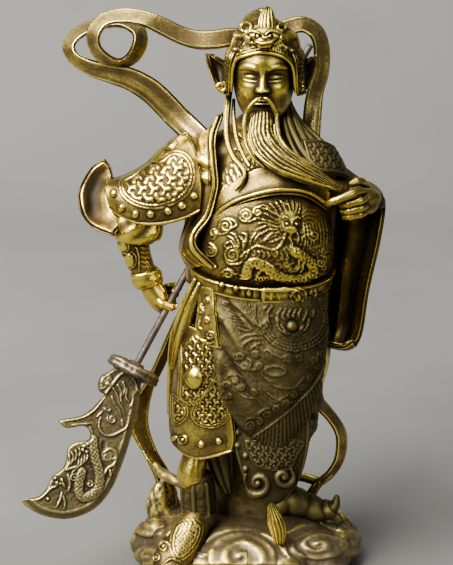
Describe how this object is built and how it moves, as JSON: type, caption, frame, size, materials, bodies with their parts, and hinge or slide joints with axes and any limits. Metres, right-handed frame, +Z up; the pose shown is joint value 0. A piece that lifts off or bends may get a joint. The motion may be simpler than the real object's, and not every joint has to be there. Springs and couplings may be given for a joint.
{
  "type": "guan yu statue",
  "caption": "Cast brass figure of a bearded warrior in armour and robe, standing on a cloud base with a long-handled blade; rests flat on its underside.",
  "frame": {"origin": "centre of the base's flat underside", "axes": "+Z up the statue, -Y towards its front, +X towards the viewer's right when facing the front"},
  "size_m": [0.2074, 0.1106, 0.3306],
  "materials": {
    "brass": "cast, polished on the high spots, brown-black patina in the hollows",
    "dark_bronze": "dull olive-brown patina, a little brighter on the raised carving",
    "dark_rod": "dark, slightly worn"
  },
  "bodies": {
    "root": {"statue": "brass", "halberd_blade": "dark_bronze", "halberd_shaft": "dark_rod"}
  },
  "joints": []
}
